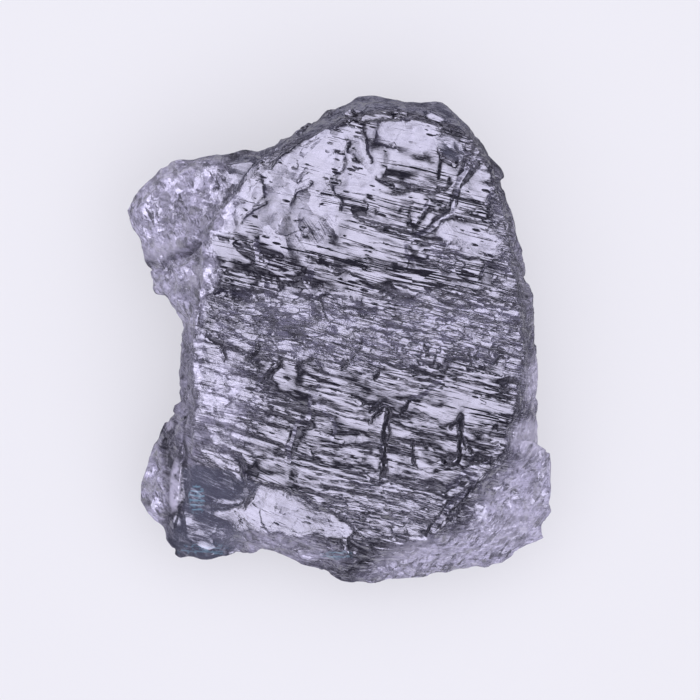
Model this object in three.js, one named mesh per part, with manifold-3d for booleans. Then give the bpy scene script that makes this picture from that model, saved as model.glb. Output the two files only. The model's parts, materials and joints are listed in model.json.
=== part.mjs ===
// A rough diamond: one natural stone, broken along its cleavage planes and lying on a flat cleavage face.
// Units are millimetres, +Z is up, and the origin is under the middle of the stone, on the surface it rests on.
// The stone is a body with six smaller forms grown on to it. Thin parallel growth layers run through the whole
// stone, and wherever they come to the surface they end in long narrow ledges. Small shell-shaped chips take the
// edges off the rim and the grown forms.
import * as THREE from "three";
import { ConvexGeometry } from "three/addons/geometries/ConvexGeometry.js";
import { mergeVertices } from "three/addons/utils/BufferGeometryUtils.js";
import Module from "manifold-3d";

const wasm = await Module();
wasm.setup();

// ---- the growth layers ----------------------------------------------------------------------------

const LAYER_DIP = 13.5; // degrees by which the layers' traces fall towards +X on the upper face
const LAYER_LEAN = 20; // degrees by which the layers lean back from the vertical
const dip = THREE.MathUtils.degToRad(LAYER_DIP);
const lean = THREE.MathUtils.degToRad(LAYER_LEAN);
const alongLayers = new THREE.Vector3(Math.cos(dip), -Math.sin(dip), 0);
const acrossLayers = new THREE.Vector3(Math.sin(dip), Math.cos(dip), 0);
const layerNormal = acrossLayers
  .clone()
  .multiplyScalar(Math.cos(lean))
  .add(new THREE.Vector3(0, 0, Math.sin(lean)));

// ---- the main forms, each the convex hull of its corners [x, y, z] --------------------------------

const FACE = 5.75; // usual height of the broad upper face
const GIRDLE = 3.1; // usual height of the body's widest line

const body = [
  // the rim of the upper face, anticlockwise from its upper left corner
  [-1.95, 4.45, 5.45], [-2.5, 3.6, 5.55], [-3.3, 2.6, 5.5], [-3.55, 0.5, 5.45], [-3.6, -0.8, 5.35],
  [-3.6, -2.2, 5.1], [-2.0, -3.55, 5.1], [0.75, -5.2, 4.8], [2.3, -4.9, 5.05], [4.1, -2.7, FACE - 0.15],
  [4.55, -0.7, FACE], [4.35, 1.6, FACE + 0.1], [3.85, 3.9, FACE + 0.05], [3.25, 5.0, FACE], [1.9, 5.45, FACE + 0.15],
  [0.1, 5.4, FACE - 0.1],
  // the two low crests of the upper face
  [0.2, 3.3, 6.12], [2.6, 2.3, 6.2], [0.6, -0.4, 6.15], [2.6, -1.6, 6.05],
  // the girdle
  [0.5, 6.14, GIRDLE + 0.4], [0.12, 5.98, GIRDLE + 0.3], [2.62, 5.96, GIRDLE + 0.5], [3.2, 5.35, GIRDLE],
  [3.62, 4.9, GIRDLE + 0.2], [4.02, 4.1, GIRDLE + 0.1], [4.62, 1.9, GIRDLE], [4.95, 0.8, GIRDLE - 0.1],
  [4.98, -0.2, GIRDLE - 0.2], [5.02, -1.6, GIRDLE - 0.3], [4.9, -3.0, GIRDLE - 0.5],
  [3.2, -5.3, GIRDLE - 0.7], [1.3, -5.85, GIRDLE - 0.9], [-1.9, -4.9, GIRDLE - 0.6],
  [-3.7, -3.6, GIRDLE - 0.5], [-3.98, -1.0, GIRDLE - 0.1], [-3.78, -0.1, GIRDLE], [-4.0, 0.5, GIRDLE],
  [-3.3, 3.2, GIRDLE - 0.2], [-1.9, 4.75, GIRDLE],
  // the flat cleavage face it rests on
  [-2.5, 1.9, 0], [-0.7, 3.3, 0], [1.9, 3.1, 0], [3.2, 1.0, 0], [3.1, -1.7, 0], [1.4, -3.4, 0],
  [-1.3, -3.2, 0], [-2.8, -1.2, 0],
];

// The broad thin lobe at the upper left.
const wing = [
  [-4.95, 3.3, 3.75], [-4.35, 4.0, 3.95], [-3.2, 4.35, 4.2], [-2.0, 4.45, 4.45], [-2.9, 2.6, 4.55],
  [-4.3, 2.2, 3.85], [-5.3, 3.2, 3.1], [-5.14, 3.58, 3.1], [-4.8, 4.03, 3.15], [-4.46, 4.35, 3.2],
  [-4.0, 4.5, 3.3], [-3.1, 4.68, 3.4], [-2.2, 4.66, 3.5], [-1.5, 4.95, 3.6], [-5.08, 2.72, 3.0],
  [-4.85, 2.05, 3.0], [-4.6, 1.6, 2.9], [-4.2, 3.0, 1.6], [-3.6, 3.9, 1.5], [-2.2, 3.9, 1.0],
  [-2.6, 2.0, 0.9], [-3.8, 1.9, 1.5],
];

// The frosted knob under the wing.
const knob = [
  [-3.3, 2.35, 5.0], [-4.15, 1.95, 4.55], [-4.35, 1.35, 4.35], [-3.75, 0.75, 4.75], [-3.2, 1.5, 5.1],
  [-4.72, 1.75, 3.4], [-4.6, 1.35, 3.1], [-4.43, 1.02, 3.0], [-4.03, 0.72, 3.1], [-3.9, 0.35, 3.2],
  [-3.5, 0.2, 4.4], [-3.6, 1.4, 1.3], [-3.0, 0.9, 1.0], [-2.8, 2.0, 1.0],
];

// The clear corner at the lower left.
const corner = [
  [-3.85, -1.2, 4.2], [-3.95, -3.4, 3.5], [-4.0, -4.5, 3.2], [-3.9, -5.2, 2.8], [-2.2, -3.5, 4.1],
  [-2.2, -4.9, 3.4], [-4.43, -5.13, 2.3], [-4.0, -5.45, 2.3], [-2.5, -5.36, 2.5], [-1.85, -5.2, 2.6],
  [-4.55, -4.7, 2.2], [-4.3, -1.95, 2.8], [-4.1, -1.6, 3.2], [-3.6, -3.6, 0.8], [-3.2, -4.6, 0.9],
  [-2.0, -4.4, 0.7], [-2.4, -2.4, 0.5],
];

// The low granular shoulder outside the clear corner.
const shoulder = [
  [-4.35, -2.5, 3.1], [-4.55, -3.5, 2.9], [-4.4, -4.4, 2.75], [-4.1, -2.0, 3.2], [-3.9, -4.4, 3.0],
  [-5.08, -3.98, 2.4], [-4.96, -3.43, 2.5], [-4.68, -2.8, 2.6], [-4.35, -1.98, 2.6], [-4.8, -4.3, 2.3],
  [-4.6, -4.68, 2.2], [-3.6, -2.4, 0.9], [-3.7, -3.7, 0.9], [-4.5, -3.6, 1.4],
];

// The bright ledge along the lower edge, with the stone's lowest tip.
const sill = [
  [-2.05, -3.65, 4.3], [-3.0, -4.3, 4.0], [0.3, -4.75, 4.35], [1.1, -5.3, 4.1], [-1.7, -4.85, 3.95],
  [-1.9, -5.28, 2.7], [-1.15, -5.38, 2.7], [-0.43, -5.66, 2.5], [0.28, -5.98, 2.3], [0.85, -6.15, 2.2],
  [1.65, -5.92, 2.4], [2.2, -5.5, 2.9], [0.5, -5.0, 0.6], [-1.6, -4.4, 0.7], [1.6, -4.6, 0.5],
];

// The rough slope at the lower right.
const slope = [
  [4.55, -2.3, 5.0], [5.0, -2.6, 4.4], [2.3, -4.95, 4.6], [3.8, -4.3, 4.3], [1.9, -5.5, 3.6],
  [5.28, -2.68, 3.3], [5.3, -3.4, 3.2], [5.26, -4.0, 3.0], [5.3, -4.53, 2.8], [5.15, -4.93, 2.7],
  [4.75, -5.2, 2.7], [4.13, -5.53, 2.6], [3.28, -5.63, 2.6], [2.53, -5.75, 2.5], [1.65, -5.92, 2.4],
  [4.3, -3.0, 0.8], [3.9, -4.2, 0.8], [2.4, -4.7, 0.6],
];

// ---- steps, cracks and plain facets of the upper face ----------------------------------------------

// A step starts at [x, y] and runs along the layers for `length`. It drops to `depth` on that line, and its floor
// climbs back to the surface over `width`, towards +Y.
const steps = [
  { at: [-3.05, 1.6], length: 1.9, width: 0.5, depth: 0.2 }, // the dark hollow at the left
  { at: [-1.6, 1.55], length: 1.4, width: 0.42, depth: 0.14 },
  { at: [0.3, 1.35], length: 4.0, width: 0.6, depth: 0.22 }, // the long dark band
  { at: [0.25, 3.0], length: 1.1, width: 0.34, depth: 0.14 },
  { at: [0.95, 2.75], length: 1.6, width: 0.3, depth: 0.12 },
  { at: [0.85, 4.05], length: 1.8, width: 0.3, depth: 0.12 },
  { at: [2.45, 4.5], length: 0.7, width: 0.5, depth: 0.2 }, // the dark patch near the right rim
  { at: [-1.75, -1.35], length: 3.2, width: 0.3, depth: 0.12 },
  { at: [-1.9, -1.9], length: 1.5, width: 0.28, depth: 0.12 },
  { at: [0.2, -2.7], length: 2.6, width: 0.3, depth: 0.12 },
  { at: [-3.75, -2.9], length: 1.7, width: 0.55, depth: 0.3 }, // the shadowed slope over the corner
];

// A crack runs through its points [x, y]. `width` is at the surface.
const cracks = [
  { points: [[1.18, -1.68], [1.12, -2.5], [1.08, -3.33]], width: 0.14, depth: 0.25 },
  { points: [[2.98, -1.9], [3.02, -2.75], [2.52, -3.0]], width: 0.15, depth: 0.22 },
  { points: [[1.8, -2.45], [1.88, -3.05]], width: 0.1, depth: 0.14 },
  { points: [[3.45, 4.75], [2.9, 3.77], [2.8, 3.17], [1.75, 2.48]], width: 0.12, depth: 0.1 },
  { points: [[2.2, 3.38], [1.68, 2.55]], width: 0.1, depth: 0.1 },
  { points: [[-1.3, 4.97], [-1.93, 4.45], [-2.8, 3.45], [-3.1, 2.88], [-3.58, 2.48]], width: 0.14, depth: 0.16 },
  { points: [[-1.77, 4.53], [-2.0, 4.1], [-1.85, 3.55], [-2.33, 3.0]], width: 0.1, depth: 0.1 },
  { points: [[0.55, 5.1], [0.65, 4.65], [0.8, 4.35]], width: 0.1, depth: 0.1 },
  { points: [[-1.9, 0.05], [-2.27, -0.5]], width: 0.18, depth: 0.18 },
  { points: [[-1.43, -0.55], [-1.93, -1.05]], width: 0.12, depth: 0.12 },
  { points: [[-1.02, -1.93], [-1.27, -3.02]], width: 0.24, depth: 0.1 },
  { points: [[3.4, -3.25], [2.75, -3.7]], width: 0.16, depth: 0.14 },
  { points: [[3.3, -3.55], [2.77, -4.05], [2.35, -4.65]], width: 0.16, depth: 0.14 },
  { points: [[-3.82, -2.4], [-3.88, -3.98], [-4.0, -4.9]], width: 0.16, depth: 0.16 },
];

// No ledge comes out on the plain facets: round patches with their middle at [x, y].
const plains = [
  { at: [-2.2, 3.75], radius: 0.75 },
  { at: [-1.2, 3.2], radius: 0.95 },
  { at: [-0.6, 4.3], radius: 0.85 },
  { at: [0.3, 4.5], radius: 0.6 },
  { at: [1.6, 5.0], radius: 0.4 },
];

// ---- how the fine relief is spread -----------------------------------------------------------------

const TERRACES = { rowPitch: 0.95, length: [1.4, 3.8], gap: 0.6, width: [0.35, 0.8], depth: [0.08, 0.16] };
const LEDGES = { rowPitch: 0.31, length: [1.0, 3.0], gap: 0.4, width: [0.1, 0.24], depth: [0.04, 0.09] };
const SIDE_LEDGES = { count: 100, length: [1.2, 3.4], width: [0.3, 0.9], depth: [0.08, 0.2] };
const CHIPS = { count: 420, radius: [0.35, 1.1], bite: [0.07, 0.2] };
const BASE_MARGIN = 0.3; // no relief is cut within this height of the resting face
const CUTTER_RISE = 0.35; // how far a cutter stands out of the surface it cuts
const SEED = 26;

// A small repeatable random source, 0 to 1.
function randomSource(seed) {
  let state = seed;
  return () => {
    state = (state + 0x6d2b79f5) | 0;
    let t = Math.imul(state ^ (state >>> 15), 1 | state);
    t = (t + Math.imul(t ^ (t >>> 7), 61 | t)) ^ t;
    return ((t ^ (t >>> 14)) >>> 0) / 2 ** 32;
  };
}
const random = randomSource(SEED);
const between = (low, high) => low + (high - low) * random();
const turn = () => between(-Math.PI, Math.PI);

// ---- solids ----------------------------------------------------------------------------------------

function toSolid(geometry) {
  const bare = geometry.index ? geometry.toNonIndexed() : geometry.clone();
  bare.deleteAttribute("normal");
  bare.deleteAttribute("uv");
  const merged = mergeVertices(bare, 1e-5);
  return new wasm.Manifold(
    new wasm.Mesh({
      numProp: 3,
      vertProperties: merged.attributes.position.array,
      triVerts: new Uint32Array(merged.index.array),
    }),
  );
}

function toGeometry(solid) {
  const mesh = solid.getMesh();
  const geometry = new THREE.BufferGeometry();
  geometry.setAttribute("position", new THREE.BufferAttribute(mesh.vertProperties, 3));
  geometry.setIndex(new THREE.BufferAttribute(mesh.triVerts, 1));
  return geometry;
}

const OVERHEAD = 20; // well outside the stone
const down = new THREE.Vector3(0, 0, -1);
const middle = new THREE.Vector3(0, 0, GIRDLE - 0.2);
const isUpperFace = (spot) => spot.normal.z > 0.86 && spot.point.z > FACE - 1;

const hull = (corners) => toSolid(new ConvexGeometry(corners.map((c) => new THREE.Vector3(...c))));

// Finds the surface of a solid along a ray: {point, normal}, or null.
function surfaceFinder(solid) {
  const target = new THREE.Mesh(toGeometry(solid), new THREE.MeshBasicMaterial({ side: THREE.DoubleSide }));
  const caster = new THREE.Raycaster();
  return (from, direction) => {
    caster.set(from, direction);
    const hit = caster.intersectObject(target)[0];
    return hit ? { point: hit.point, normal: hit.face.normal.clone() } : null;
  };
}

// A ledge at `spot`: a riser `depth` deep that follows `trace`, and a floor that climbs back to the surface over
// `width`. Both run out to nothing at the two ends of its `length`. `side` says which side of the riser it is on.
function ledgeCutter(spot, trace, { length, width, depth, side }) {
  const out = spot.normal;
  const along = trace.clone().addScaledVector(out, -trace.dot(out)).normalize();
  const across = new THREE.Vector3().crossVectors(out, along).multiplyScalar(side);
  const corner = (l, w, h) =>
    spot.point
      .clone()
      .addScaledVector(along, l * length)
      .addScaledVector(across, w * width)
      .addScaledVector(out, h);
  const floor = [
    corner(-0.5, between(0, 0.2), 0),
    corner(-between(0.1, 0.4), 0, -depth),
    corner(between(0.1, 0.4), 0, -depth),
    corner(0.5, between(0, 0.2), 0),
    corner(between(0.2, 0.4), 1, 0),
    corner(-between(0.2, 0.4), 1, 0),
  ];
  const roof = floor.map((point) => point.clone().addScaledVector(out, CUTTER_RISE + depth));
  return toSolid(new ConvexGeometry([...floor, ...roof]));
}

// A V-shaped prism for a crack between two points of the surface.
function crackCutter(find, from, to, { width, depth }) {
  const ends = [from, to].map(([x, y]) => find(new THREE.Vector3(x, y, OVERHEAD), down).point);
  const along = ends[1].clone().sub(ends[0]).setZ(0).normalize();
  const across = new THREE.Vector3(-along.y, along.x, 0);
  const lift = 0.3;
  const spread = (width / 2) * (1 + lift / depth);
  const corners = ends.flatMap((p, i) => {
    const tip = p.clone().addScaledVector(along, (i ? 1 : -1) * depth * 0.6);
    return [
      p.clone().setZ(p.z - depth),
      tip.clone().addScaledVector(across, spread).setZ(p.z + lift),
      tip.clone().addScaledVector(across, -spread).setZ(p.z + lift),
    ];
  });
  return toSolid(new ConvexGeometry(corners));
}

// A coarse tumbled ball that takes a shell-shaped chip, `bite` deep, off an edge.
function chipCutter({ point, normal }, radius, bite) {
  const ball = new THREE.IcosahedronGeometry(radius, 0);
  ball.applyMatrix4(new THREE.Matrix4().makeRotationFromEuler(new THREE.Euler(turn(), turn(), turn())));
  ball.scale(between(0.8, 1.3), between(0.8, 1.3), between(0.8, 1.1));
  const centre = point.clone().addScaledVector(normal, radius * 0.85 - bite);
  return toSolid(ball.translate(centre.x, centre.y, centre.z));
}

// ---- the fine relief -------------------------------------------------------------------------------

// Directions spread evenly over a sphere.
function* directions(count) {
  const goldenAngle = Math.PI * (3 - Math.sqrt(5));
  for (let i = 0; i < count; i++) {
    const z = 1 - (2 * i + 1) / count;
    const ring = Math.sqrt(1 - z * z);
    yield new THREE.Vector3(ring * Math.cos(i * goldenAngle), ring * Math.sin(i * goldenAngle), z);
  }
}

const isPlain = ({ x, y }) => plains.some(({ at, radius }) => Math.hypot(x - at[0], y - at[1]) < radius);

// Rows of ledges across the upper face, each row broken into pieces of different length.
function upperLedges(find, { rowPitch, length, gap, width, depth }) {
  const cutters = [];
  const reach = 6;
  for (let v = -reach; v < reach; v += rowPitch * between(0.7, 1.3)) {
    let u = -reach + between(0, length[1]);
    while (u < reach) {
      const shape = {
        length: between(...length),
        width: between(...width),
        depth: between(...depth),
        side: random() < 0.6 ? 1 : -1,
      };
      const [start, over, end] = [0, 0.5, 1].map((part) =>
        alongLayers.clone().multiplyScalar(u + shape.length * part).addScaledVector(acrossLayers, v),
      );
      const spot = find(over.clone().setZ(OVERHEAD), down);
      u += shape.length + between(0, gap);
      const misses = !spot || !isUpperFace(spot) || [start, over, end].some(isPlain);
      if (!misses) cutters.push(ledgeCutter(spot, alongLayers, shape));
    }
  }
  return cutters;
}

// The same layers where they come out at the sides and underneath. Where a side is nearly parallel to the
// layers, they flake off it along the upper face's direction. Close to the resting face the ledges are smaller.
function sideLedges(find, { count, length, width, depth }) {
  const cutters = [];
  for (const direction of directions(count)) {
    const spot = find(middle.clone().addScaledVector(direction, OVERHEAD), direction.clone().negate());
    const trace = new THREE.Vector3().crossVectors(spot.normal, layerNormal);
    if (trace.length() < 0.35) trace.copy(alongLayers);
    const shape = {
      length: between(...length),
      width: between(...width),
      depth: between(...depth),
      side: random() < 0.5 ? 1 : -1,
    };
    const reach = (shape.length / 2) * Math.abs(trace.z) + shape.width;
    const room = spot.point.z - BASE_MARGIN;
    if (isUpperFace(spot) || room < reach / 4) continue;
    const fit = Math.min(1, room / reach);
    for (const size of ["length", "width", "depth"]) shape[size] *= fit;
    cutters.push(ledgeCutter(spot, trace, shape));
  }
  return cutters;
}

// Chips are taken where the surface bends, and face out between the two sides of the bend.
function chips(find, { count, radius, bite }) {
  const cutters = [];
  for (const direction of directions(count)) {
    const spots = [direction, direction.clone().add(new THREE.Vector3(turn(), turn(), turn()).setLength(0.08))]
      .map((way) => way.normalize())
      .map((way) => find(middle.clone().addScaledVector(way, OVERHEAD), way.clone().negate()));
    const [point, size, depth] = [spots[0].point, between(...radius), between(...bite)];
    const normal = spots[0].normal.clone().add(spots[1].normal).normalize();
    const isFlat = spots[0].normal.dot(spots[1].normal) > 0.97;
    if (isFlat || point.z < BASE_MARGIN + size * 0.6) continue;
    cutters.push(chipCutter({ point, normal }, size, depth));
  }
  return cutters;
}

// ---- the stone -------------------------------------------------------------------------------------

const cutAll = (solid, cutters) => cutters.reduce((rest, cutter) => rest.subtract(cutter), solid);

function makeStone() {
  let stone = [body, wing, knob, corner, shoulder, sill, slope].map(hull).reduce((a, b) => a.add(b));
  stone = cutAll(stone, chips(surfaceFinder(stone), CHIPS));
  stone = cutAll(stone, upperLedges(surfaceFinder(stone), TERRACES));

  const find = surfaceFinder(stone);
  const bigSteps = steps.map((step) => {
    const spot = find(new THREE.Vector3(...step.at, OVERHEAD).addScaledVector(alongLayers, step.length / 2), down);
    return ledgeCutter(spot, alongLayers, { ...step, side: 1 });
  });
  const openCracks = cracks.flatMap((crack) =>
    crack.points.slice(1).map((to, i) => crackCutter(find, crack.points[i], to, crack)),
  );
  stone = cutAll(stone, [...bigSteps, ...openCracks]);

  const lastFind = surfaceFinder(stone);
  return cutAll(stone, [...upperLedges(lastFind, LEDGES), ...sideLedges(lastFind, SIDE_LEDGES)]);
}

// A cut can split a crumb off the stone. Only the triangles joined to most of the others are kept.
function withoutCrumbs(geometry) {
  const index = geometry.index.array;
  const leader = Array.from({ length: geometry.attributes.position.count }, (_, i) => i);
  const find = (i) => {
    while (leader[i] !== i) i = leader[i] = leader[leader[i]];
    return i;
  };
  for (let t = 0; t < index.length; t += 3) {
    leader[find(index[t + 1])] = find(index[t]);
    leader[find(index[t + 2])] = find(index[t]);
  }
  const pieces = new Map();
  for (let t = 0; t < index.length; t += 3) {
    const piece = find(index[t]);
    if (!pieces.has(piece)) pieces.set(piece, []);
    pieces.get(piece).push(index[t], index[t + 1], index[t + 2]);
  }
  const [largest] = [...pieces.values()].sort((a, b) => b.length - a.length);
  geometry.setIndex(largest);
  return geometry;
}

// Puts the origin under the middle of the stone, at the resting face.
function centred(geometry) {
  geometry.computeBoundingBox();
  const { min, max } = geometry.boundingBox;
  return geometry.translate(-(min.x + max.x) / 2, -(min.y + max.y) / 2, -min.z);
}

const stoneGeometry = centred(withoutCrumbs(toGeometry(makeStone())));
const diamond = new THREE.Mesh(
  stoneGeometry,
  new THREE.MeshStandardMaterial({ color: 0x86849a, roughness: 0.2, metalness: 0, flatShading: true }),
);
diamond.name = "rough_diamond";

const part = new THREE.Group();
part.add(diamond);
export default part;
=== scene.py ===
import json
from itertools import product
from math import cos, radians, sin

import bpy
import numpy as np
from mathutils import Matrix

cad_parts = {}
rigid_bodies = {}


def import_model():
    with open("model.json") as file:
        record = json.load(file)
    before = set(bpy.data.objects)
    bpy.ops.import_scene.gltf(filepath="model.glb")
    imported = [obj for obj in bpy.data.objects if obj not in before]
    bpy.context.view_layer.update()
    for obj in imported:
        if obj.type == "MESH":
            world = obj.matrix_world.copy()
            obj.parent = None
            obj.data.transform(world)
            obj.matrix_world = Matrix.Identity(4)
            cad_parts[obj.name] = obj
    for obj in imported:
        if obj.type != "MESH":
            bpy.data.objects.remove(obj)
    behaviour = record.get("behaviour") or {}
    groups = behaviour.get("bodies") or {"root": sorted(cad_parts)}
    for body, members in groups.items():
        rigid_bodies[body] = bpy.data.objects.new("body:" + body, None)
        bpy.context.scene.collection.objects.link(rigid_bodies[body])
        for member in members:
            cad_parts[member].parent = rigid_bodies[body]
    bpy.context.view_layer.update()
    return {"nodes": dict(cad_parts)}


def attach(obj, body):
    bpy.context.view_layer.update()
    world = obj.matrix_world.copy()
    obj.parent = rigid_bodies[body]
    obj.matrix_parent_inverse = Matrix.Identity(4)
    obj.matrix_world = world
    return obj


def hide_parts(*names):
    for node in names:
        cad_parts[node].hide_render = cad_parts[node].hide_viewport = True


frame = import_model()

mm = 0.001


def selectOnly(obj):
    bpy.ops.object.select_all(action="DESELECT")
    obj.select_set(True)
    bpy.context.view_layer.objects.active = obj


def applyModifier(obj, name, kind, **settings):
    modifier = obj.modifiers.new(name, kind)
    for key, value in settings.items():
        setattr(modifier, key, value)
    selectOnly(obj)
    bpy.ops.object.modifier_apply(modifier=name)


def getVectors(obj, name):
    values = np.empty(len(obj.data.vertices) * 3, dtype=np.float32)
    obj.data.vertices.foreach_get(name, values)
    return values.reshape(-1, 3).astype(np.float64)


def setPoints(obj, points):
    obj.data.vertices.foreach_set("co", points.astype(np.float32).ravel())
    obj.data.update()


def smoothStep(x, low, high):
    t = np.clip((x - low) / (high - low), 0, 1)
    return t * t * (3 - 2 * t)


# noise that comes out the same on every run
def hashed(seed, *cells):  # 0 to 1
    h = np.full(np.shape(cells[0]), seed * 374761393 & 0xFFFFFFFF, dtype=np.uint32)
    for cell in cells:
        h ^= np.asarray(cell).astype(np.int64).astype(np.uint32)
        h *= np.uint32(2654435761)
        h ^= h >> np.uint32(15)
        h *= np.uint32(2246822519)
        h ^= h >> np.uint32(13)
    return h.astype(np.float64) / 4294967295.0


def lumps(points, size, height, seed):  # soft lumps in space
    p = points / np.asarray(size, dtype=float)
    cell = np.floor(p)
    f = p - cell
    f = f * f * (3 - 2 * f)
    total = np.zeros(len(p))
    for step in product((0, 1), repeat=3):
        weight = np.prod([f[:, i] if step[i] else 1 - f[:, i] for i in range(3)], axis=0)
        total += weight * hashed(seed, *(cell[:, i] + step[i] for i in range(3)))
    return (total * 2 - 1) * height


def ripples(a, b, seed, octaves=1):  # flat noise with sharper slopes, about -1 to 1
    total, size, whole = 0, 1, 0
    for octave in range(octaves):
        x, y = a * 2**octave, b * 2**octave
        cellX, cellY = np.floor(x), np.floor(y)
        fx, fy = x - cellX, y - cellY
        for i, j in product((0, 1), repeat=2):
            angle = hashed(seed + 17 * octave, cellX + i, cellY + j) * 2 * np.pi
            slope = np.cos(angle) * (fx - i) + np.sin(angle) * (fy - j)
            weight = smoothStep(1 - abs(fx - i), 0, 1) * smoothStep(1 - abs(fy - j), 0, 1)
            total = total + size * slope * weight
        whole += size
        size *= 0.55
    return total / whole * 1.4


def patches(a, b, seed, kinds):  # random values that change from patch to patch, one for each kind
    cellX, cellY = np.floor(a), np.floor(b)
    nearest = np.full(a.shape, 9.0)
    atX, atY = cellX * 0, cellX * 0
    for i, j in product((-1, 0, 1), repeat=2):
        x, y = cellX + i, cellY + j
        distance = (a - x - hashed(seed, x, y)) ** 2 + (b - y - hashed(seed + 1, x, y)) ** 2
        closer = distance < nearest
        nearest = np.where(closer, distance, nearest)
        atX, atY = np.where(closer, x, atX), np.where(closer, y, atY)
    return [hashed(seed + kind, atX, atY) for kind in kinds]


def chips(points, size, tilt, level, seed):  # flat chips, each with its own tilt and level
    size = np.asarray(size, dtype=float) * np.ones(3)
    q = points / size
    home = np.floor(q)
    nearest = np.full(len(q), 9.0)
    cell = home.copy()
    away = q * 0
    for step in product((-1, 0, 1), repeat=3):
        other = home + np.array(step)
        cells = (other[:, 0], other[:, 1], other[:, 2])
        offset = q - other - np.stack([hashed(seed + i, *cells) for i in range(3)], 1)
        distance = np.sqrt((offset * offset).sum(1))
        closer = distance < nearest
        nearest = np.where(closer, distance, nearest)
        cell[closer] = other[closer]
        away[closer] = offset[closer]
    cells = (cell[:, 0], cell[:, 1], cell[:, 2])
    slopes = np.stack([hashed(seed + 3 + i, *cells) for i in range(3)], 1) * 2 - 1
    return (away * size * slopes).sum(1) * tilt + (hashed(seed + 6, *cells) * 2 - 1) * level


# the stone, in mm and degrees
stoneSizes = {
    "dip": 13.5,  # how far the streaks run down to the right
    "lean": 20,  # how far the layers lean from upright
    "leanShare": 0.35,  # how much the streaks follow the lean down the sides
    "layerMiddle": 4.6,  # height at which the layers don't shift the streaks
    "faceLevel": 5.5,  # height of the upper face, where the streaks are laid out
    "merge": 0.0005,
    "voxel": 0.037,
    "triangles": 192000,
    "smoothAngle": 28,
    "wear": 14,  # passes of smoothing before the relief is cut
    "softening": 3,  # passes on the sides after it
    "warp": ((0.5, 0.07, 0), (0.2, 0.025, 3)),  # size, height, and what is added to the seed
    "streakLength": 2.0,
    "streakWidth": 0.12,
    "cutSlope": 0.3,
    "cutDepth": 0.11,
    "crackDepth": 0.045,
    "grooveDepth": 0.005,
    "narrowest": 0.09,  # least width of a crack or groove in the relief
    "veinReach": 0.3,  # how far from its middle a crack or groove is felt
    "wobble": ((0.09, 0.4, 21), (0.03, 0.12, 23)),  # how far marks stray, over what length, seed
    "pitTurn": (0.94, 0.34),  # pits are ovals, turned like this
    "pitLength": 1.9,  # times their width
    "sillLevel": (4.5, 0.17, 0.15),  # height in the middle, then slopes to the right and the back
    "sillMiddle": (-1.1, -4.35),
    "topFrom": (3.9, 4.4),  # heights between which the upper face's relief begins
    "sideShrink": 0.03,  # how far the sides are drawn in, to make room for their relief
}
# small forms of the surface: size, then the tilt and level of chips or the height of lumps, seed
stoneRelief = {
    "torn": [(chips, (0.4, 0.16, 0.3), 0.25, 0.008, 61), (lumps, (0.35, 0.1, 0.3), 0.02, 62)],
    "facets": [(chips, (1.1, 0.5, 1), 0.03, 0, 71), (lumps, (0.6, 0.2, 1), 0.008, 72)],
    "swells": [(lumps, 0.7, 0.04, 121)],
    "pebbles": [(lumps, 0.42, 0.045, 81), (lumps, 0.2, 0.02, 82), (chips, 0.6, 0.05, 0.003, 84)],
    "flakes": [(chips, (1.5, 1.5, 0.3), 0.07, 0.02, 101), (lumps, (0.9, 0.9, 0.12), 0.012, 103)],
}

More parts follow.
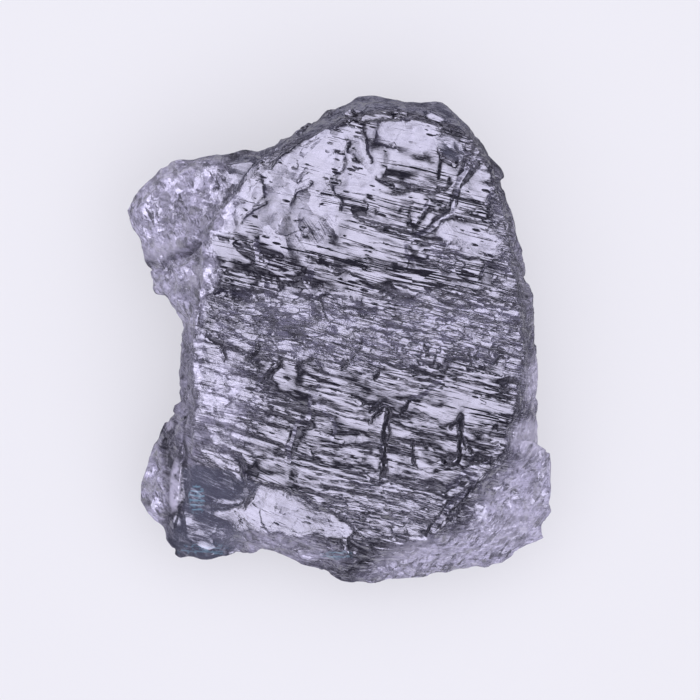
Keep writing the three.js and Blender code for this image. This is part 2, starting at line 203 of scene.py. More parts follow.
# where things are on it, seen from above
# soft spots: centre x, y, half length, half width, turn in degrees, softness, amount
spots = {
    "dark": [  # how much more is cut away between the streaks; below 0 less
        (2.75, 4.72, 0.36, 0.26, -40, 0.25, 4), (1.83, 4.07, 0.9, 0.3, -11, 0.4, 1.1),
        (1.5, 3.12, 1.35, 0.42, -12, 0.4, 0.4), (0.75, 3.2, 0.45, 0.25, -12, 0.3, 0.6),
        (2.8, 1.5, 2.3, 0.4, -9, 0.4, 2.1), (-1.7, 1.7, 1.5, 0.38, -8, 0.35, 0.55),
        (-2.6, 1.8, 0.6, 0.32, -8, 0.3, 0.6), (1.5, 1.55, 1.6, 0.3, -9, 0.4, 0.35),
        (-2.1, 3.65, 1.2, 0.55, 50, 0.3, -1.8), (-1.0, 3.15, 1.1, 0.95, 0, 0.3, -1.6),
        (-0.5, 4.4, 1.0, 0.65, 45, 0.3, -1.5), (0.3, 4.4, 0.6, 0.9, 20, 0.3, -1.3),
        (0.1, 2.5, 0.8, 0.4, -10, 0.4, -0.8), (1.65, 5.03, 0.95, 0.4, -5, 0.3, -1.6),
        (3.15, 2.5, 0.95, 0.3, -15, 0.4, -0.9), (1.0, 2.15, 0.9, 0.25, -12, 0.4, -0.7),
        (3.6, 3.97, 0.35, 0.28, 0, 0.4, -0.8), (-3.0, 2.3, 0.7, 0.2, -12, 0.4, -0.6),
        (0.6, -1.2, 2.6, 0.28, -12, 0.4, -0.35), (3.3, -1.4, 1.3, 0.5, -12, 0.4, -0.35),
        (-3.0, -2.85, 0.9, 0.22, -27, 0.5, 1.6), (-2.75, -3.05, 0.85, 0.34, -27, 0.4, 1.0),
        (0.3, -2.0, 2.4, 0.6, -12, 0.5, 0.1), (-2.9, 3.0, 0.3, 0.7, -40, 0.4, -0.6),
    ],
    "smooth": [  # broad soft facets, and no small relief
        (-2.1, 3.65, 1.2, 0.55, 50, 0.3, 1), (-1.0, 3.15, 1.1, 0.95, 0, 0.3, 1),
        (-0.5, 4.4, 1.0, 0.65, 45, 0.3, 1), (0.3, 4.4, 0.6, 0.9, 20, 0.3, 1),
        (1.65, 5.03, 0.95, 0.4, -5, 0.3, 1), (3.15, 2.5, 0.95, 0.3, -15, 0.4, 0.8),
        (-3.1, -3.9, 0.95, 1.3, 0, 0.25, 1), (-3.3, -1.5, 0.5, 1.6, 8, 0.4, 0.6),
    ],
    "hackle": [  # torn, greyer surface
        (-0.6, 0.25, 2.9, 0.85, -8, 0.4, 1), (2.9, 0.35, 2.0, 0.85, -6, 0.4, 1),
        (1.0, -4.1, 1.6, 0.9, 0, 0.5, 0.4), (-2.4, -1.2, 0.7, 1.5, 0, 0.5, 0.5),
        (2.6, 2.1, 0.5, 0.4, 0, 0.5, 0.7), (4.4, 0.6, 0.5, 2.6, 5, 0.4, 0.9),
        (4.3, 3.0, 0.5, 1.5, 15, 0.4, 0.7), (3.4, 4.6, 0.5, 0.4, 0, 0.4, 0.6),
    ],
    "frosted": [  # pale, worn, slightly translucent
        (-4.2, 3.3, 1.75, 1.2, 20, 0.25, 1), (-4.0, 1.3, 0.75, 1.2, 0, 0.25, 1),
        (-3.3, 1.9, 0.35, 0.6, 15, 0.3, 0.8), (-4.9, -3.5, 0.6, 1.7, 5, 0.3, 1),
        (4.9, -4.4, 1.4, 2.3, -38, 0.3, 1), (3.0, -5.5, 2.4, 0.8, 15, 0.3, 1),
        (4.9, -1.0, 0.35, 0.7, 0, 0.4, 1), (4.8, -2.4, 0.6, 0.5, 0, 0.4, 1),
        (-3.7, -1.0, 0.45, 2.2, 3, 0.4, 0.6), (-2.9, -1.6, 0.6, 1.2, 0, 0.4, 0.5),
        (-1.5, -5.1, 1.6, 0.4, -10, 0.4, 0.7), (4.7, 2.2, 0.35, 2.2, 9, 0.4, 0.5),
    ],
    "white": [  # chalky patches
        (-4.07, -3.6, 0.62, 0.13, 85, 0.3, 1), (4.83, -2.4, 0.5, 0.38, 0, 0.5, 0.8),
        (4.95, -1.0, 0.25, 0.4, 0, 0.5, 0.7), (-4.35, 2.3, 0.5, 0.2, 20, 0.5, 0.6),
        (4.3, -4.6, 0.8, 0.4, 30, 0.6, 0.35), (-4.3, 3.9, 0.6, 0.3, 30, 0.6, 0.3),
        (1.7, -5.2, 0.6, 0.3, 10, 0.6, 0.4), (-4.2, -2.1, 0.1, 0.14, 0, 0.3, 0.8),
        (-3.6, 1.6, 0.25, 0.25, 0, 0.5, 0.4),
    ],
    "clear": [  # dark and smooth
        (-3.3, -4.85, 0.95, 0.65, 0, 0.3, 0.85), (-2.9, 4.9, 0.8, 0.16, 8, 0.4, 0.8),
        (2.75, 4.72, 0.36, 0.24, -40, 0.25, 0.9),
    ],
    "muted": [  # greys between the streaks; below 0 starker
        (0.5, -3.0, 3.2, 1.9, -8, 0.4, 1), (-2.6, 0.2, 1.2, 1.6, 0, 0.5, 0.7),
        (2.0, 3.8, 1.7, 1.3, -12, 0.4, -1), (2.6, 1.7, 1.6, 0.7, -12, 0.4, -0.7),
        (-1.7, 1.7, 1.6, 0.5, -8, 0.4, -0.7),
    ],
    "paintedTealGlint": [  # painted glints: teal light caught inside the clear corner, put into the colour
        (-3.52, -3.92, 0.2, 0.38, 0, 0.3, 1), (-3.35, -5.2, 0.7, 0.14, 0, 0.5, 0.6),
        (-0.05, -5.3, 0.4, 0.12, 0, 0.4, 0.7),
    ],
}
# areas with a sharp edge: the amount, then the corners
areas = {
    "window": [  # the clear corner, and the clear rim at the back
        (1, [(-3.88, -3.22), (-3.48, -3.02), (-2.85, -3.17), (-1.92, -3.52), (-2.08, -3.82),
             (-2.52, -4.1), (-3.15, -4.28), (-3.35, -4.48), (-3.82, -4.35)]),
        (0.6, [(-2.78, 4.12), (-2.48, 4.52), (-1.92, 4.78), (-1.42, 5.02), (-0.98, 5.2),
               (-0.52, 5.32), (-0.22, 5.58), (0.15, 5.88), (0.35, 6.2), (0.6, 6.3), (1.1, 6.2),
               (1.65, 6.05), (2.55, 6.0), (2.95, 5.65), (3.3, 5.32), (3.0, 5.3), (2.5, 5.42),
               (2.0, 5.62), (1.4, 5.72), (0.9, 5.72), (0.58, 5.58), (0.32, 5.72), (-0.02, 5.32),
               (-0.32, 5.08), (-0.52, 5.0), (-0.98, 5.0), (-1.35, 4.88), (-1.72, 4.52),
               (-2.22, 4.08), (-2.58, 3.72)]),
    ],
    "sill": [  # the bright ledge beside the clear corner
        (1, [(-2.1, -3.65), (-1.92, -3.57), (-1.22, -3.77), (-0.48, -4.17), (0.15, -4.48),
             (0.33, -4.73), (0.23, -4.92), (-0.6, -4.73), (-0.98, -4.85), (-1.48, -4.73),
             (-1.92, -4.68), (-2.48, -4.73), (-2.68, -4.68), (-3.15, -4.33), (-2.48, -4.1),
             (-2.12, -3.9)]),
    ],
}
# thin marks: the width, then the points along the middle
veins = {
    "cracks": [  # open and dark
        (0.07, [(-1.77, 4.53), (-2, 4.1), (-1.88, 3.8), (-1.85, 3.55)]),
        (0.06, [(-1.82, 3.42), (-2.05, 3.3), (-2.33, 3)]),
        (0.05, [(0.2, 4.83), (0.15, 4.28), (-0.07, 4.03), (-0.23, 3.85), (-0.1, 3.6), (0.07, 3.38),
                (0.05, 3.2)]),
        (0.05, [(0.55, 5.1), (0.65, 4.65), (0.8, 4.35)]),
        (0.05, [(-0.7, 3.88), (-1.05, 3.55), (-1.2, 3.33)]),
        (0.05, [(-0.78, 4.15), (-1, 3.92)]),
        (0.06, [(-0.82, 4.78), (-0.53, 5.05)]),
        (0.1, [(1.18, -1.68), (1.18, -2.1), (1.12, -2.48), (1.1, -2.77), (1.12, -3.08),
               (1.07, -3.33)]),
        (0.05, [(1.8, -2.48), (1.8, -2.73), (1.88, -3.05)]),
        (0.12, [(2.98, -1.9), (3.02, -2.23), (3.02, -2.73), (2.95, -2.92), (2.73, -3.05),
                (2.52, -2.98)]),
        (0.06, [(2.95, -1.93), (2.75, -2.15)]),
        (0.05, [(1.12, -1.6), (0.93, -1.82), (0.75, -2)]),
        (0.05, [(4.5, 0.5), (4.2, 0.23)]),
        (0.06, [(3.17, -0.23), (3.2, -0.6)]),
        (0.05, [(3.4, -0.2), (3.35, -0.47)]),
        (0.06, [(2.1, -0.1), (2.17, -0.4)]),
        (0.08, [(4.03, -0.28), (3.83, -0.62)]),
        (0.08, [(-0.35, 1.12), (-0.53, 0.97)]),
        (0.06, [(-0.47, 0.93), (-0.28, 0.53)]),
        (0.07, [(0.5, 0.07), (0.47, -0.28), (0.33, -0.45), (0.1, -0.62)]),
        (0.06, [(-3.3, 0.07), (-3.08, 0), (-2.88, -0.12), (-2.77, -0.47)]),
        (0.07, [(-3.27, 1.12), (-3.45, 0.95), (-3.45, 0.65), (-3.48, 0.38)]),
        (0.06, [(-1.65, 0.6), (-1.93, 0.47), (-2.08, 0.23)]),
        (0.12, [(-1.93, -0.05), (-2.05, -0.3), (-2.27, -0.5)]),
        (0.07, [(-1.43, -0.55), (-1.68, -0.8), (-1.93, -1.05)]),
        (0.05, [(-3.62, -1.18), (-3.48, -1.77)]),
        (0.09, [(-3.8, -1.85), (-3.83, -3.23), (-3.88, -3.98), (-4, -4.28), (-4.03, -4.72),
                (-4.08, -5.35)]),
        (0.06, [(3.4, -3.48), (3.23, -3.75)]),
        (0.07, [(3.23, -3.62), (2.95, -4.03), (2.77, -4.22)]),
        (0.05, [(2.7, -3.95), (2.45, -4.25)]),
        (0.08, [(2.3, -4.5), (2.1, -4.78)]),
        (0.05, [(2.83, -3.58), (2.62, -3.77)]),
        (0.06, [(-1.93, -4.17), (-1.9, -4.53), (-1.75, -4.78)]),
        (0.08, [(0.25, -4.88), (0.28, -5.28)]),
        (0.1, [(3.42, -2.77), (3.33, -2.9)]),
        (0.09, [(3.7, -2.88), (3.6, -2.95)]),
        (0.06, [(-0.68, -0.47), (-0.85, -0.53), (-1, -0.7)]),
        (0.06, [(-3.35, 2.4), (-3.73, 2.2)]),
        (0.06, [(-3.65, 1.82), (-3.4, 1.5), (-3.38, 1.23)]),
        (0.05, [(-3.9, 1.5), (-3.67, 1.82)]),
        (0.08, [(1.73, -1.52), (1.52, -1.77)]),
        (0.07, [(1, -1.52), (0.82, -1.73)]),
        (0.08, [(0.95, -0.78), (0.88, -0.97)]),
        (0.24, [(2.48, 4.86), (2.62, 4.68), (2.84, 4.6)]),
        (0.2, [(2.58, 4.52), (2.86, 4.42)]),
    ],
    "grooves": [  # soft and grey
        (0.14, [(-0.97, 5.33), (-1.43, 4.85), (-1.93, 4.45), (-2.27, 4.12), (-2.55, 3.75),
                (-2.8, 3.45), (-3, 3.17), (-3.1, 2.88), (-3.33, 2.65), (-3.58, 2.48)]),
        (0.13, [(3.45, 4.75), (3.17, 4.35), (3.02, 4.03), (2.9, 3.77), (2.83, 3.5), (2.8, 3.17),
                (2.33, 2.8), (2, 2.62), (1.75, 2.48)]),
        (0.1, [(2.2, 3.38), (2.02, 3.1), (1.77, 2.73), (1.68, 2.55)]),
        (0.13, [(-2.02, 2.45), (-2, 1.98)]),
        (0.14, [(-1.77, 1.98), (-1.7, 1.77), (-1.73, 1.38), (-1.77, 1.05)]),
        (0.12, [(-1.55, 0.8), (-1.93, 0.55), (-2.1, 0.23)]),
        (0.2, [(-1.9, -0.93), (-2.02, -1.27), (-2.12, -1.75)]),
        (0.1, [(-0.7, -1.18), (-0.72, -1.85)]),
        (0.08, [(-0.45, -1.1), (-0.57, -1.32), (-0.53, -1.52), (-0.4, -1.65)]),
        (0.09, [(-0.38, -1.75), (-0.12, -1.95), (-0.05, -2.23), (-0.25, -2.5)]),
        (0.1, [(-1.02, -1.93), (-1.1, -2.27), (-1.2, -2.65), (-1.27, -3.02)]),
        (0.14, [(2.52, -0.9), (2.3, -1.15), (2.1, -1.35), (1.77, -1.45)]),
        (0.06, [(3.7, 1.98), (3.52, 1.65)]),
        (0.06, [(3.48, 1.45), (3.27, 1.23)]),
        (0.14, [(0.88, 1.38), (0.57, 1.23), (0.42, 0.95), (0.3, 0.65)]),
        (0.12, [(-3.35, -0.1), (-3.17, -0.78), (-3.05, -1.25), (-3, -1.77)]),
        (0.1, [(3.77, 3.75), (3.65, 3.38)]),
        (0.15, [(3.38, -3.05), (3.05, -3.25), (2.75, -3.62)]),
        (0.15, [(3.4, -3.27), (3.05, -3.5), (2.77, -3.7)]),
        (0.16, [(3.33, -3.52), (3.1, -3.8), (2.77, -4.03), (2.52, -4.35), (2.35, -4.65)]),
        (0.14, [(3.95, -2.6), (3.67, -2.92), (3.48, -3.17)]),
        (0.12, [(2.3, -4.85), (1.98, -5.1), (1.73, -5.3)]),
        (0.18, [(-0.35, 5.1), (-0.68, 4.78), (-0.95, 4.5)]),
        (0.16, [(-0.68, 1.82), (-0.78, 1.48), (-0.65, 1.23)]),
        (0.14, [(2.27, 2.27), (2.62, 1.98), (2.83, 1.73)]),
        (0.1, [(1.62, 2.35), (1.62, 2.08), (1.82, 1.98)]),
    ],
    "pits": [  # x, y, radius
        (0, 4.6, 0.06), (-0.2, 4.85, 0.04), (-0.28, 4.6, 0.03), (0.4, 4.4, 0.06),
        (0.42, 4.22, 0.04), (-0.3, 4, 0.06), (-0.45, 3.38, 0.05), (0, 3.88, 0.04),
        (-1.1, 4.22, 0.04), (-2.35, 2.92, 0.04), (0.33, 5.28, 0.05), (-0.97, 2.98, 0.04),
        (-3.7, 3.6, 0.07), (-3.33, 3.38, 0.06), (-3.52, 3.77, 0.04), (-2.9, 3.73, 0.05),
        (-4.05, 3.23, 0.06), (-3.17, 3.98, 0.06), (-2.73, 4.12, 0.04), (-3.25, 3.67, 0.04),
        (-4.35, 2.98, 0.07), (-3.98, 3.08, 0.07), (-3.83, 4.08, 0.05), (-4.53, 4.22, 0.06),
        (3.27, -3.02, 0.06), (4.15, -3.52, 0.06), (3.27, -2.7, 0.05),
    ],
}


def relief(points, name):
    total = 0
    for make, *settings in stoneRelief[name]:
        total = total + make(points, *settings)
    return total


def spotWeight(name, x, y):
    up, down = np.zeros(len(x)), np.zeros(len(x))
    for cx, cy, halfLength, halfWidth, turn, soft, amount in spots[name]:
        c, s = cos(radians(turn)), sin(radians(turn))
        a = ((x - cx) * c + (y - cy) * s) / halfLength
        b = ((y - cy) * c - (x - cx) * s) / halfWidth
        weight = amount * (1 - smoothStep(np.sqrt(a * a + b * b), 1 - soft, 1 + soft))
        up, down = np.maximum(up, weight), np.minimum(down, weight)
    return up + down


def veinAway(name, x, y):  # from the nearest vein to each point, then that vein's width
    reach = stoneSizes["veinReach"]
    away = np.zeros((len(x), 3))
    away[:, 0] = reach + 0.1
    best = np.full(len(x), reach)
    for width, points in veins[name]:
        line = np.array(points)
        low, high = line.min(0) - reach, line.max(0) + reach
        near = np.flatnonzero((x > low[0]) & (x < high[0]) & (y > low[1]) & (y < high[1]))
        for (ax, ay), (bx, by) in zip(points, points[1:]):
            dx, dy = bx - ax, by - ay
            t = np.clip(((x[near] - ax) * dx + (y[near] - ay) * dy) / (dx * dx + dy * dy), 0, 1)
            offX, offY = x[near] - ax - t * dx, y[near] - ay - t * dy
            distance = np.hypot(offX, offY)
            closer = distance < best[near]
            at = near[closer]
            best[at] = distance[closer]
            away[at, 0], away[at, 1] = offX[closer], offY[closer]
            fade = smoothStep(distance[closer], 0.7 * width + 0.04, 0.9 * width + 0.1)
            away[at, 2] = width * (1 - fade)
    return away


def veinWeight(away, least=0):  # 1 in the middle of a vein, 0 at its sides
    width = np.maximum(away[:, 2], least)
    return 1 - smoothStep(np.hypot(away[:, 0], away[:, 1]), 0.1 * width, 0.7 * width + 0.001)


def wobbled(x, y):  # so that the drawn marks don't run straight
    strayX, strayY = 0, 0
    for amount, length, seed in stoneSizes["wobble"]:
        strayX = strayX + amount * ripples(x / length, y / length, seed)
        strayY = strayY + amount * ripples(x / length, y / length, seed + 1)
    return x + strayX, y + strayY


def areaWeight(name, x, y, soft=0.05):
    x, y = wobbled(x, y)
    total = np.zeros(len(x))
    for amount, corners in areas[name]:
        inside, edge = np.zeros(len(x), dtype=bool), np.full(len(x), 9.0)
        for (ax, ay), (bx, by) in zip(corners, corners[1:] + corners[:1]):
            dx, dy = bx - ax, by - ay
            t = np.clip(((x - ax) * dx + (y - ay) * dy) / (dx * dx + dy * dy), 0, 1)
            edge = np.minimum(edge, np.hypot(x - ax - t * dx, y - ay - t * dy))
            if dy:
                inside ^= ((ay > y) != (by > y)) & (x < ax + (y - ay) * dx / dy)
        total = np.maximum(total, amount * smoothStep(np.where(inside, edge, -edge), -soft, soft))
    return total


def pitWeight(x, y):
    total = np.zeros(len(x))
    c, s = stoneSizes["pitTurn"]
    for px, py, r in veins["pits"]:
        along = ((x - px) * c - (y - py) * s) / stoneSizes["pitLength"]
        across = (x - px) * s + (y - py) * c
        total = np.maximum(total, 1 - smoothStep(np.hypot(along, across), r * 0.3, r * 1.2))
    return total


# the stone's mesh
dipC, dipS = cos(radians(stoneSizes["dip"])), sin(radians(stoneSizes["dip"]))
leanC, leanS = cos(radians(stoneSizes["lean"])), sin(radians(stoneSizes["lean"]))

node = frame["nodes"]["rough_diamond"]
stone = node.copy()
stone.data = node.data.copy()
bpy.context.scene.collection.objects.link(stone)
stone.name = "diamond_surface"
stone.data.name = "diamond_surface"
selectOnly(stone)
stone.data.transform(Matrix.Rotation(radians(stoneSizes["dip"]), 4, "Z") @ Matrix.Scale(1000, 4))
bpy.ops.object.mode_set(mode="EDIT")
bpy.ops.mesh.select_all(action="SELECT")
bpy.ops.mesh.remove_doubles(threshold=stoneSizes["merge"])
bpy.ops.object.mode_set(mode="OBJECT")


def readGrid(values, low, step, u, v):
    a = np.clip((u - low[0]) / step[0], 0, values.shape[0] - 1.001)
    b = np.clip((v - low[1]) / step[1], 0, values.shape[1] - 1.001)
    i, j = a.astype(int), b.astype(int)
    a, b = a - i, b - j
    one = values[i, j] * (1 - a) + values[i + 1, j] * a
    two = values[i, j + 1] * (1 - a) + values[i + 1, j + 1] * a
    return one * (1 - b) + two * b


def toPlan(u, v):
    return u * dipC + v * dipS, v * dipC - u * dipS


def flowAt(u, v, w):  # along the streaks, across them, and through the layers
    x, y = toPlan(u, v)
    steeper = smoothStep(-y, 1.5, 3.5) * smoothStep(-x, -0.5, 1.5)  # towards the sill
    below = np.minimum(w - stoneSizes["layerMiddle"], 0)
    across = v + 0.2 * (x + 1.2) * steeper + stoneSizes["leanShare"] * below
    across = across + 0.06 * ripples(u / 1.6, v / 0.9, 5)
    return u, across, w * 0.5


def streakField(u, v, w):  # above 0 where a tread is, below 0 where the stone is cut away
    x, y = toPlan(u, v)
    along, across = flowAt(u, v, w)[:2]
    patchAlong = along / 1.4 + 0.35 * ripples(u / 0.5, v / 0.5, 8)
    shift, dullness = patches(patchAlong, across / 0.3, 40, (2, 4))
    shift = shift * 31
    length, width = stoneSizes["streakLength"], stoneSizes["streakWidth"]
    field = ripples(along / length + shift, across / width + shift * 3, 11, 2) * 0.9
    field += ripples(along / 0.6, across / 0.12, 15) * 0.15
    field += 0.1 - (dullness - 0.5) * 0.5 - 0.45 * spotWeight("dark", x, y)
    return field


# cuts between the streaks: each falls away on one side and ends in a step
fine = {"low": (-6.6, -7.2), "high": (6.6, 7.2), "step": (0.03, 0.012)}
fineU, fineV = (np.arange(fine["low"][i], fine["high"][i], fine["step"][i]) for i in range(2))
fineU, fineV = np.meshgrid(fineU, fineV, indexing="ij")
fineShape = fineU.shape
fineU, fineV = fineU.ravel(), fineV.ravel()
fineW = np.full(len(fineU), stoneSizes["faceLevel"])
openness = streakField(fineU, fineV, fineW).reshape(fineShape)
cuts = np.zeros(fineShape)
fall = stoneSizes["cutSlope"] * fine["step"][1]
for j in range(fineShape[1] - 2, -1, -1):
    cuts[:, j] = np.where(openness[:, j] < 0, cuts[:, j + 1] - fall, cuts[:, j + 1] * 0.6)
cuts = np.maximum(cuts, -stoneSizes["cutDepth"])
print("streaks cut")

applyModifier(stone, "Remesh", "REMESH", mode="VOXEL", voxel_size=stoneSizes["voxel"])
# the remesh may leave crumbs: only what hangs together with the lowest point stays
bpy.ops.object.mode_set(mode="EDIT")
bpy.ops.mesh.select_all(action="DESELECT")
bpy.ops.object.mode_set(mode="OBJECT")
stone.data.vertices[int(np.argmin(getVectors(stone, "co")[:, 2]))].select = True
bpy.ops.object.mode_set(mode="EDIT")
bpy.ops.mesh.select_linked()
bpy.ops.mesh.select_all(action="INVERT")
bpy.ops.mesh.delete(type="VERT")
bpy.ops.object.mode_set(mode="OBJECT")
print("remeshed", len(stone.data.vertices))
p = getVectors(stone, "co")
lift = smoothStep(p[:, 2], 0.0, 0.5)[:, None]
warps = [sum(lumps(p, size, most, seed + extra) for size, most, extra in stoneSizes["warp"])
         for seed in (201, 202, 203)]
p += np.stack(warps, 1) * lift
setPoints(stone, p)
applyModifier(stone, "Wear", "SMOOTH", factor=0.5, iterations=stoneSizes["wear"])
p = getVectors(stone, "co")
x, y = toPlan(p[:, 0], p[:, 1])
level, right, back = stoneSizes["sillLevel"]
sillX, sillY = stoneSizes["sillMiddle"]
sill = areaWeight("sill", x, y, 0.15) * smoothStep(p[:, 2], 2.9, 3.5)
p[:, 2] += (level + right * (x - sillX) + back * (y - sillY) - p[:, 2]) * sill
setPoints(stone, p)
n = getVectors(stone, "normal")
u, v = p[:, 0], p[:, 1]
x, y = toPlan(u, v)
frosted = spotWeight("frosted", x, y)
clear = np.maximum(spotWeight("clear", x, y), areaWeight("window", x, y))
smooth = np.clip(spotWeight("smooth", x, y) + areaWeight("sill", x, y), 0, 1)
hackle = spotWeight("hackle", x, y)
top = smoothStep(n[:, 2], 0.5, 0.8) * smoothStep(p[:, 2], *stoneSizes["topFrom"])
top *= (1 - 0.7 * np.clip(frosted, 0, 1)) * (1 - clear)
muted = np.clip(spotWeight("muted", x, y), 0, 1)
height = readGrid(cuts, fine["low"], fine["step"], u, v) * (1 - 0.3 * hackle) * (1 - 0.5 * muted)
rough = (top > 0.03) & (hackle > 0.03)
height[rough] += relief(p[rough], "torn") * hackle[rough]
facet = (top > 0.03) & (smooth > 0.03)
turned = np.stack([x + y, y - x, 0 * x], 1)[facet] * 0.707  # by 45 degrees
height[facet] += smooth[facet] * relief(turned, "facets")
p[:, 2] += height * top
facing = smoothStep(n[:, 2], 0.2, 0.5)
bentX, bentY = wobbled(x, y)
cracked = veinWeight(veinAway("cracks", bentX, bentY), stoneSizes["narrowest"])
p[:, 2] -= stoneSizes["crackDepth"] * facing * np.maximum(cracked, pitWeight(bentX, bentY))
grooved = veinWeight(veinAway("grooves", bentX, bentY), stoneSizes["narrowest"])
p[:, 2] -= stoneSizes["grooveDepth"] * facing * grooved

# the lobes and the sides
side = (1 - top) * np.where(n[:, 2] < -0.9, smoothStep(p[:, 2], 0.04, 0.4), 1)
rough = side > 0.02
here = p[rough]
upLayer = here[:, 2] * leanC - here[:, 1] * leanS
overLayer = here[:, 1] * leanC + here[:, 2] * leanS
layered = np.stack([here[:, 0], upLayer, overLayer], 1)
lobe = np.clip(frosted[rough], 0, 1)
offset = relief(here, "swells") + relief(here, "pebbles") * (0.15 + 0.85 * lobe)
offset = offset + relief(layered, "flakes") * (1 - 0.95 * lobe)
offset = offset * (1 - 0.7 * clear[rough]) - stoneSizes["sideShrink"]
shift = n[rough] * (offset * side[rough])[:, None]
shift[:, 2] *= smoothStep(here[:, 2], 0.02, 0.4)  # the resting face stays flat
p[rough] += shift
setPoints(stone, p)
sides = stone.vertex_groups.new(name="sides")
for tenth in range(1, 11):
    members = np.flatnonzero(np.round(side * 10) == tenth)
    sides.add(members.tolist(), tenth / 10, "REPLACE")
softening = {"factor": 0.5, "iterations": stoneSizes["softening"], "vertex_group": "sides"}
applyModifier(stone, "Soften", "SMOOTH", **softening)
stone.vertex_groups.clear()
print("relief made")
ratio = stoneSizes["triangles"] / (len(stone.data.polygons) * 2)
applyModifier(stone, "Decimate", "DECIMATE", ratio=ratio, use_collapse_triangulate=True)
print("thinned to", len(stone.data.polygons), "triangles")

# what the finish reads
p = getVectors(stone, "co")
x, y = toPlan(p[:, 0], p[:, 1])
upward = smoothStep(getVectors(stone, "normal")[:, 2], 0.0, 0.3)
readings = {
    "open": streakField(p[:, 0], p[:, 1], p[:, 2]) + 0.7 * areaWeight("sill", x, y),
    "frosted": np.clip(spotWeight("frosted", x, y), 0, 1),
    "pit": pitWeight(*wobbled(x, y)),
    "clear": np.maximum(spotWeight("clear", x, y), areaWeight("window", x, y)) * upward,
    "hackle": np.clip(spotWeight("hackle", x, y), 0, 1),
    "smooth": np.clip(spotWeight("smooth", x, y) + areaWeight("sill", x, y), 0, 1),
    "muted": spotWeight("muted", x, y),
    "sill": areaWeight("sill", x, y),
    "white": np.clip(spotWeight("white", x, y), 0, 1),
    "paintedTealGlint": np.clip(spotWeight("paintedTealGlint", x, y), 0, 1) * upward,
}
for name, values in readings.items():
    layer = stone.data.attributes.new(name, "FLOAT", "POINT")
    layer.data.foreach_set("value", values.astype(np.float32))
readings = {
    "flow": np.stack(flowAt(p[:, 0], p[:, 1], p[:, 2]), 1),
    "cracks": veinAway("cracks", *wobbled(x, y)),
    "grooves": veinAway("grooves", *wobbled(x, y)),
}
for name, values in readings.items():
    layer = stone.data.attributes.new(name, "FLOAT_VECTOR", "POINT")
    layer.data.foreach_set("vector", values.astype(np.float32).ravel())
stone.data.transform(Matrix.Scale(mm, 4) @ Matrix.Rotation(radians(-stoneSizes["dip"]), 4, "Z"))
selectOnly(stone)
bpy.ops.object.shade_smooth_by_angle(angle=radians(stoneSizes["smoothAngle"]))
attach(stone, "root")
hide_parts("rough_diamond")


# finishes
def newMaterial(name):
    material = bpy.data.materials.new(name)
    material.use_nodes = True
    return material, material.node_tree.nodes, material.node_tree.links


def addNode(nodes, kind, inputs=None, **values):
    made = nodes.new(kind)
    for key, value in values.items():
        setattr(made, key, value)
    for key, value in (inputs or {}).items():
        made.inputs[key].default_value = value
    return made


diamondLook = {
    # the stone's own near-black body, also painted as shade into the gaps, cracks and pits
    "dark": (0.012, 0.011, 0.018, 1),
    "grey": (0.14, 0.135, 0.18, 1),
    "pale": (0.68, 0.655, 0.765, 1),
    "vein": (0.12, 0.116, 0.15, 1),
    "white": (0.62, 0.6, 0.66, 1),
    "window": (0.11, 0.117, 0.148, 1),
    # the colour of the painted teal glints in the clear corner
    "paintedTealGlint": (0.2, 0.33, 0.38, 1),
    "roughness": (0.09, 0.36),  # where it gleams, and where it is worn
    "ior": 2.42,
    "transmission": 0.3,
    "streakLength": 1.5,  # mm
    "streakWidth": 0.04,
    "bundleLength": 1.1,
    "bundleWidth": 0.22,
    "contrast": 4.8,  # how hard the streaks' edges are
    "balance": -2.175,  # how much of the face is pale
    "bundleSpread": (-0.2, 0.2),  # how much bundles differ, and larger groups of them
    "groupSpread": (-0.16, 0.2),
    "reliefPull": (0.45, 0.12),  # how much the relief's own streaks steer, plain and muted
    "dashScale": (3.0, 9.5, 1.5),
    "dashSize": 0.42,
    "scratches": [  # length, width, turn, seed, strength
        (1.6, 0.14, -58, 3, 1.0), (1.1, 0.16, 47, 8, 0.8), (0.9, 0.09, -52, 12, 0.7),
    ],
    "leftDabs": (0.42, 0.13, -62, 2),  # length, width, turn, seed
    "rightDabs": (0.5, 0.13, 52, 5),
    "dimming": 0.3,  # how dark marks stay in the frosted and clear parts
    "darkTilt": (0.56, 0.68),  # slopes, from the least to the most
    "mutedTilt": (0.22, 0.6),
    "treadTilt": (0.0, 0.3),
    "waves": 0.42,  # how uneven the treads are
    "calmPull": 0.85,  # how much flatter the smooth parts lie
    "swellTilt": 0.3,  # slopes of the smooth parts
    "paneTilt": 0.5,
    "sillTilt": 0.35,
    "facetTilt": 0.8,  # slopes of the frosted parts
    "shade": 0.92,  # how far a dark part turns to its slope
    "featherHeight": 0.03,  # mm
    "grainHeight": 0.05,
}
diamond, nodes, links = newMaterial("greyDiamond")
shader = nodes["Principled BSDF"]
shader.inputs["IOR"].default_value = diamondLook["ior"]
shader.inputs["Transmission Weight"].default_value = diamondLook["transmission"]


def fill(sockets, values):  # each value is a number, a colour or another node's output
    for socket, value in zip(sockets, values):
        if isinstance(value, (int, float, tuple)):
            socket.default_value = value
        elif value is not None:
            links.new(value, socket)


def math(operation, *values):
    made = addNode(nodes, "ShaderNodeMath", operation=operation)
    fill(made.inputs, values)
    return made.outputs[0]


def vector(operation, a, b=None, c=None, scale=None):
    made = addNode(nodes, "ShaderNodeVectorMath", operation=operation)
    fill(made.inputs, (a, b, c, scale))
    return made.outputs[0]


def ranged(value, low, high, to=(0, 1), kind="LINEAR"):
    settings = {"From Min": low, "From Max": high, "To Min": to[0], "To Max": to[1]}
    made = addNode(nodes, "ShaderNodeMapRange", settings, interpolation_type=kind)
    links.new(value, made.inputs["Value"])
    return made.outputs["Result"]


def reading(name, output="Fac"):
    return addNode(nodes, "ShaderNodeAttribute", attribute_name=name).outputs[output]


def noise(at, scale, detail, roughness=0.6, output="Fac"):
    settings = {"Scale": scale, "Detail": detail, "Roughness": roughness}
    made = addNode(nodes, "ShaderNodeTexNoise", settings)
    links.new(at, made.inputs["Vector"])
    return made.outputs[output]


